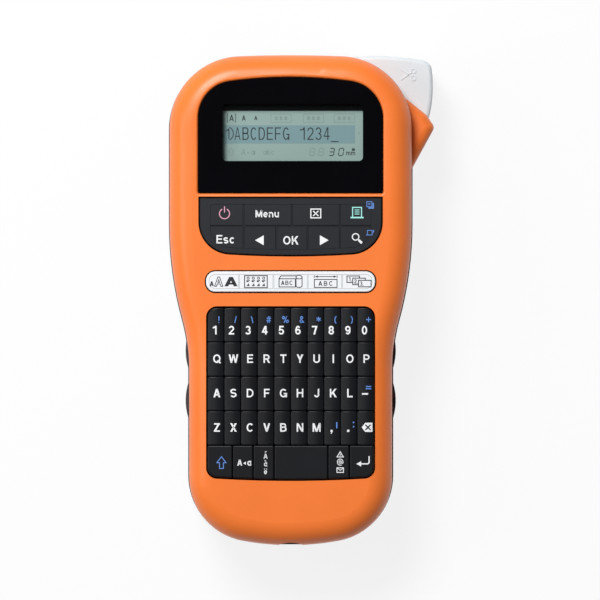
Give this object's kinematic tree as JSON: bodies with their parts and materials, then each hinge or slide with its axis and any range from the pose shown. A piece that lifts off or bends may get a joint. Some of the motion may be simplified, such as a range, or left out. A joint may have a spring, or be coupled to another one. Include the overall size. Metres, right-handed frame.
{
  "type": "label maker",
  "caption": "Hand-held label printer with a display, a letter keyboard, a side cutter lever, a tape cassette and a hinged back cover over the cassette and cells.",
  "frame": {"origin": "on the flat back, under the middle of the body", "axes": "+X to the right, +Y along the body towards the display, +Z out of the keyboard"},
  "size_m": [0.1111, 0.2058, 0.057],
  "materials": {
    "orange_plastic": "fine satin",
    "charcoal_plastic": "fine grain",
    "white_plastic": "satin",
    "gloss_black": "polished",
    "panel_grey": "satin",
    "strip_white": "satin",
    "key_rubber": "soft matte",
    "clear_window": "clear",
    "lcd_glass": "grey green",
    "frame_black": "moulded",
    "board_green": "solder mask",
    "chip_black": "moulded",
    "mat_grey": "silicone",
    "steel": "brushed",
    "gear_nylon": "natural nylon",
    "platen_rubber": "ground",
    "heat_sink": "milled",
    "ceramic": "glazed",
    "cassette_grey": "moulded",
    "tape_white": "film",
    "cell_jacket": "film over steel",
    "nickel": "plated"
  },
  "bodies": {
    "body": {"front_case": "orange_plastic", "rear_case": "charcoal_plastic", "display_bezel": "gloss_black", "display_window": "clear_window", "lcd_panel": "lcd_glass", "lcd_frame": "frame_black", "main_board": "board_green", "board_components": "chip_black", "keypad_mat": "mat_grey", "function_panel": "panel_grey", "template_panel": "strip_white", "lever_pivot_pin": "steel", "lever_spring": "steel", "chassis_plate": "steel", "feed_motor": "steel", "roller_holder": "frame_black", "print_head": "ceramic", "head_bracket": "heat_sink", "cassette_case": "cassette_grey", "cassette_lid": "cassette_grey", "label_tape": "tape_white", "batteries": "cell_jacket", "battery_contacts": "nickel", "dc_jack": "frame_black", "screws": "steel"},
    "rear_cover": {"rear_cover": "charcoal_plastic"},
    "cutter_lever": {"cutter_lever": "white_plastic", "cutter_blade": "steel"},
    "platen": {"platen_gear": "gear_nylon", "platen_roller": "platen_rubber"},
    "idler_gear": {"idler_gear": "gear_nylon"},
    "takeup_spindle": {"takeup_spindle": "gear_nylon", "ribbon_spool": "cassette_grey"},
    "reduction_gear": {"reduction_gear": "gear_nylon"},
    "motor_pinion": {"motor_pinion": "nickel"},
    "tape_roll": {"tape_roll": "tape_white"},
    "number_keys": {"number_keys": "key_rubber"},
    "upper_letter_keys": {"upper_letter_keys": "key_rubber"},
    "home_letter_keys": {"home_letter_keys": "key_rubber"},
    "lower_letter_keys": {"lower_letter_keys": "key_rubber"},
    "shift_key": {"shift_key": "key_rubber"},
    "caps_key": {"caps_key": "key_rubber"},
    "accent_key": {"accent_key": "key_rubber"},
    "space_key": {"space_key": "key_rubber"},
    "symbol_key": {"symbol_key": "key_rubber"},
    "enter_key": {"enter_key": "key_rubber"},
    "power_key": {"power_key": "panel_grey"},
    "menu_key": {"menu_key": "panel_grey"},
    "clear_key": {"clear_key": "panel_grey"},
    "print_key": {"print_key": "panel_grey"},
    "escape_key": {"escape_key": "panel_grey"},
    "left_key": {"left_key": "panel_grey"},
    "ok_key": {"ok_key": "panel_grey"},
    "right_key": {"right_key": "panel_grey"},
    "preview_key": {"preview_key": "panel_grey"},
    "font_key": {"font_key": "strip_white"},
    "frame_key": {"frame_key": "strip_white"},
    "wrap_key": {"wrap_key": "strip_white"},
    "length_key": {"length_key": "strip_white"},
    "serial_key": {"serial_key": "strip_white"}
  },
  "joints": [
    {"name": "cover_hinge", "type": "hinge", "parent": "body", "child": "rear_cover", "pos_m": [0, -0.07732, 0], "axis": [-1, 0, 0], "range_deg": [0, 80]},
    {"name": "cutter_press", "type": "hinge", "parent": "body", "child": "cutter_lever", "pos_m": [0.034, 0.07712, 0.028], "axis": [0, 0, 1], "range_deg": [-9, 0], "stiffness_Nm_per_rad": 1, "springref_deg": 2.86},
    {"name": "reduction_spin", "type": "hinge", "parent": "body", "child": "reduction_gear", "pos_m": [-0.00644, 0.07825, 0.03], "axis": [0, 0, 1], "continuous": true},
    {"name": "platen_spin", "type": "hinge", "parent": "body", "child": "platen", "pos_m": [0.018, 0.07962, 0.03], "axis": [0, 0, 1], "continuous": true},
    {"name": "idler_spin", "type": "hinge", "parent": "body", "child": "idler_gear", "pos_m": [0.00709, 0.07332, 0.03], "axis": [0, 0, 1], "continuous": true},
    {"name": "takeup_spin", "type": "hinge", "parent": "body", "child": "takeup_spindle", "pos_m": [0.00928, 0.06091, 0.03], "axis": [0, 0, 1], "continuous": true},
    {"name": "motor_spin", "type": "hinge", "parent": "body", "child": "motor_pinion", "pos_m": [-0.01909, 0.08514, 0.03], "axis": [0, 0, 1], "continuous": true},
    {"name": "tape_roll_spin", "type": "hinge", "parent": "body", "child": "tape_roll", "pos_m": [-0.02, 0.03932, 0.03], "axis": [0, 0, 1], "continuous": true},
    {"name": "number_keys_press", "type": "slide", "parent": "body", "child": "number_keys", "axis": [0, 0, -1], "range_m": [0, 0.001], "stiffness_N_per_m": 800, "springref_m": -0.0004},
    {"name": "upper_letter_keys_press", "type": "slide", "parent": "body", "child": "upper_letter_keys", "axis": [0, 0, -1], "range_m": [0, 0.001], "stiffness_N_per_m": 800, "springref_m": -0.0004},
    {"name": "home_letter_keys_press", "type": "slide", "parent": "body", "child": "home_letter_keys", "axis": [0, 0, -1], "range_m": [0, 0.001], "stiffness_N_per_m": 800, "springref_m": -0.0004},
    {"name": "lower_letter_keys_press", "type": "slide", "parent": "body", "child": "lower_letter_keys", "axis": [0, 0, -1], "range_m": [0, 0.001], "stiffness_N_per_m": 800, "springref_m": -0.0004},
    {"name": "shift_key_press", "type": "slide", "parent": "body", "child": "shift_key", "axis": [0, 0, -1], "range_m": [0, 0.001], "stiffness_N_per_m": 800, "springref_m": -0.0004},
    {"name": "caps_key_press", "type": "slide", "parent": "body", "child": "caps_key", "axis": [0, 0, -1], "range_m": [0, 0.001], "stiffness_N_per_m": 800, "springref_m": -0.0004},
    {"name": "accent_key_press", "type": "slide", "parent": "body", "child": "accent_key", "axis": [0, 0, -1], "range_m": [0, 0.001], "stiffness_N_per_m": 800, "springref_m": -0.0004},
    {"name": "space_key_press", "type": "slide", "parent": "body", "child": "space_key", "axis": [0, 0, -1], "range_m": [0, 0.001], "stiffness_N_per_m": 800, "springref_m": -0.0004},
    {"name": "symbol_key_press", "type": "slide", "parent": "body", "child": "symbol_key", "axis": [0, 0, -1], "range_m": [0, 0.001], "stiffness_N_per_m": 800, "springref_m": -0.0004},
    {"name": "enter_key_press", "type": "slide", "parent": "body", "child": "enter_key", "axis": [0, 0, -1], "range_m": [0, 0.001], "stiffness_N_per_m": 800, "springref_m": -0.0004},
    {"name": "power_key_press", "type": "slide", "parent": "body", "child": "power_key", "axis": [0, 0, -1], "range_m": [0, 0.0008], "stiffness_N_per_m": 800, "springref_m": -0.0004},
    {"name": "menu_key_press", "type": "slide", "parent": "body", "child": "menu_key", "axis": [0, 0, -1], "range_m": [0, 0.0008], "stiffness_N_per_m": 800, "springref_m": -0.0004},
    {"name": "clear_key_press", "type": "slide", "parent": "body", "child": "clear_key", "axis": [0, 0, -1], "range_m": [0, 0.0008], "stiffness_N_per_m": 800, "springref_m": -0.0004},
    {"name": "print_key_press", "type": "slide", "parent": "body", "child": "print_key", "axis": [0, 0, -1], "range_m": [0, 0.0008], "stiffness_N_per_m": 800, "springref_m": -0.0004},
    {"name": "escape_key_press", "type": "slide", "parent": "body", "child": "escape_key", "axis": [0, 0, -1], "range_m": [0, 0.0008], "stiffness_N_per_m": 800, "springref_m": -0.0004},
    {"name": "left_key_press", "type": "slide", "parent": "body", "child": "left_key", "axis": [0, 0, -1], "range_m": [0, 0.0008], "stiffness_N_per_m": 800, "springref_m": -0.0004},
    {"name": "ok_key_press", "type": "slide", "parent": "body", "child": "ok_key", "axis": [0, 0, -1], "range_m": [0, 0.0008], "stiffness_N_per_m": 800, "springref_m": -0.0004},
    {"name": "right_key_press", "type": "slide", "parent": "body", "child": "right_key", "axis": [0, 0, -1], "range_m": [0, 0.0008], "stiffness_N_per_m": 800, "springref_m": -0.0004},
    {"name": "preview_key_press", "type": "slide", "parent": "body", "child": "preview_key", "axis": [0, 0, -1], "range_m": [0, 0.0008], "stiffness_N_per_m": 800, "springref_m": -0.0004},
    {"name": "font_key_press", "type": "slide", "parent": "body", "child": "font_key", "axis": [0, 0, -1], "range_m": [0, 0.0008], "stiffness_N_per_m": 800, "springref_m": -0.0004},
    {"name": "frame_key_press", "type": "slide", "parent": "body", "child": "frame_key", "axis": [0, 0, -1], "range_m": [0, 0.0008], "stiffness_N_per_m": 800, "springref_m": -0.0004},
    {"name": "wrap_key_press", "type": "slide", "parent": "body", "child": "wrap_key", "axis": [0, 0, -1], "range_m": [0, 0.0008], "stiffness_N_per_m": 800, "springref_m": -0.0004},
    {"name": "length_key_press", "type": "slide", "parent": "body", "child": "length_key", "axis": [0, 0, -1], "range_m": [0, 0.0008], "stiffness_N_per_m": 800, "springref_m": -0.0004},
    {"name": "serial_key_press", "type": "slide", "parent": "body", "child": "serial_key", "axis": [0, 0, -1], "range_m": [0, 0.0008], "stiffness_N_per_m": 800, "springref_m": -0.0004}
  ],
  "couplings": [
    {"joint": "motor_spin", "follows": "reduction_spin", "ratio": -3},
    {"joint": "idler_spin", "follows": "reduction_spin", "ratio": -0.33333},
    {"joint": "platen_spin", "follows": "reduction_spin", "ratio": 0.13333},
    {"joint": "takeup_spin", "follows": "reduction_spin", "ratio": 0.13333},
    {"joint": "tape_roll_spin", "follows": "reduction_spin", "ratio": 0.028333}
  ]
}
